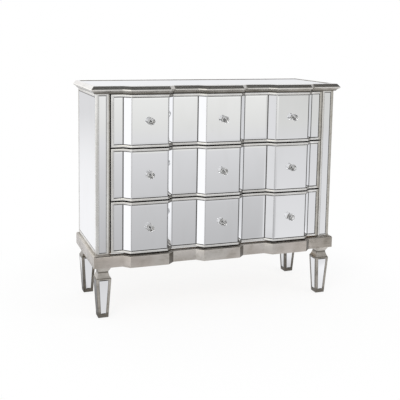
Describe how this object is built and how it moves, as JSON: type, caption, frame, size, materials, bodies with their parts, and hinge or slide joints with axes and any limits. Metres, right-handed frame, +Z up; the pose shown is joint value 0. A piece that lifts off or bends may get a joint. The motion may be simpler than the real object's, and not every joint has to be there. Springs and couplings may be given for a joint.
{
  "type": "chest of drawers",
  "caption": "Mirrored chest of wide drawers with a stepped front, moulded top, crystal knobs and square tapered legs.",
  "frame": {"origin": "on the floor, in the middle of the overall width and of the overall depth with the knobs", "axes": "+X to the right of someone who faces the drawers, +Y from the front to the back, +Z up"},
  "size_m": [1.05, 0.41, 0.904],
  "materials": {
    "silver_leaf": "antique silver leaf, satin",
    "mirror": "polished",
    "crystal": "cut and polished",
    "knob_metal": "polished",
    "bare_wood": "sanded, clear",
    "panel_wood": "plywood, clear",
    "steel": "zinc plated",
    "glide": "matt"
  },
  "bodies": {
    "carcass": {"top_board": "silver_leaf", "top_mirror": "mirror", "left_side_panel": "silver_leaf", "right_side_panel": "silver_leaf", "left_side_mirror": "mirror", "right_side_mirror": "mirror", "left_stile": "silver_leaf", "right_stile": "silver_leaf", "left_stile_mirror": "mirror", "right_stile_mirror": "mirror", "back_panel": "panel_wood", "bottom_board": "panel_wood", "lower_rail": "bare_wood", "upper_rail": "bare_wood", "top_rail": "bare_wood", "top_back_rail": "bare_wood", "left_runners": "bare_wood", "right_runners": "bare_wood", "drawer_stops": "bare_wood", "plinth_front": "silver_leaf", "plinth_left": "silver_leaf", "plinth_right": "silver_leaf", "plinth_back": "silver_leaf", "corner_blocks": "bare_wood", "front_left_leg": "silver_leaf", "front_right_leg": "silver_leaf", "back_left_leg": "silver_leaf", "back_right_leg": "silver_leaf", "front_leg_mirrors": "mirror", "back_leg_mirrors": "mirror", "leg_bolts": "steel", "foot_glides": "glide"},
    "bottom_drawer": {"bottom_drawer_front": "silver_leaf", "bottom_drawer_mirrors": "mirror", "bottom_drawer_left_side": "bare_wood", "bottom_drawer_right_side": "bare_wood", "bottom_drawer_back": "bare_wood", "bottom_drawer_bottom": "panel_wood", "bottom_drawer_knob_crystals": "crystal", "bottom_drawer_knob_bases": "knob_metal", "bottom_drawer_knob_screws": "steel"},
    "middle_drawer": {"middle_drawer_front": "silver_leaf", "middle_drawer_mirrors": "mirror", "middle_drawer_left_side": "bare_wood", "middle_drawer_right_side": "bare_wood", "middle_drawer_back": "bare_wood", "middle_drawer_bottom": "panel_wood", "middle_drawer_knob_crystals": "crystal", "middle_drawer_knob_bases": "knob_metal", "middle_drawer_knob_screws": "steel"},
    "top_drawer": {"top_drawer_front": "silver_leaf", "top_drawer_mirrors": "mirror", "top_drawer_left_side": "bare_wood", "top_drawer_right_side": "bare_wood", "top_drawer_back": "bare_wood", "top_drawer_bottom": "panel_wood", "top_drawer_knob_crystals": "crystal", "top_drawer_knob_bases": "knob_metal", "top_drawer_knob_screws": "steel"}
  },
  "joints": [
    {"name": "bottom_drawer_slide", "type": "slide", "parent": "carcass", "child": "bottom_drawer", "axis": [0, -1, 0], "range_m": [0, 0.25]},
    {"name": "middle_drawer_slide", "type": "slide", "parent": "carcass", "child": "middle_drawer", "axis": [0, -1, 0], "range_m": [0, 0.25]},
    {"name": "top_drawer_slide", "type": "slide", "parent": "carcass", "child": "top_drawer", "axis": [0, -1, 0], "range_m": [0, 0.25]}
  ]
}
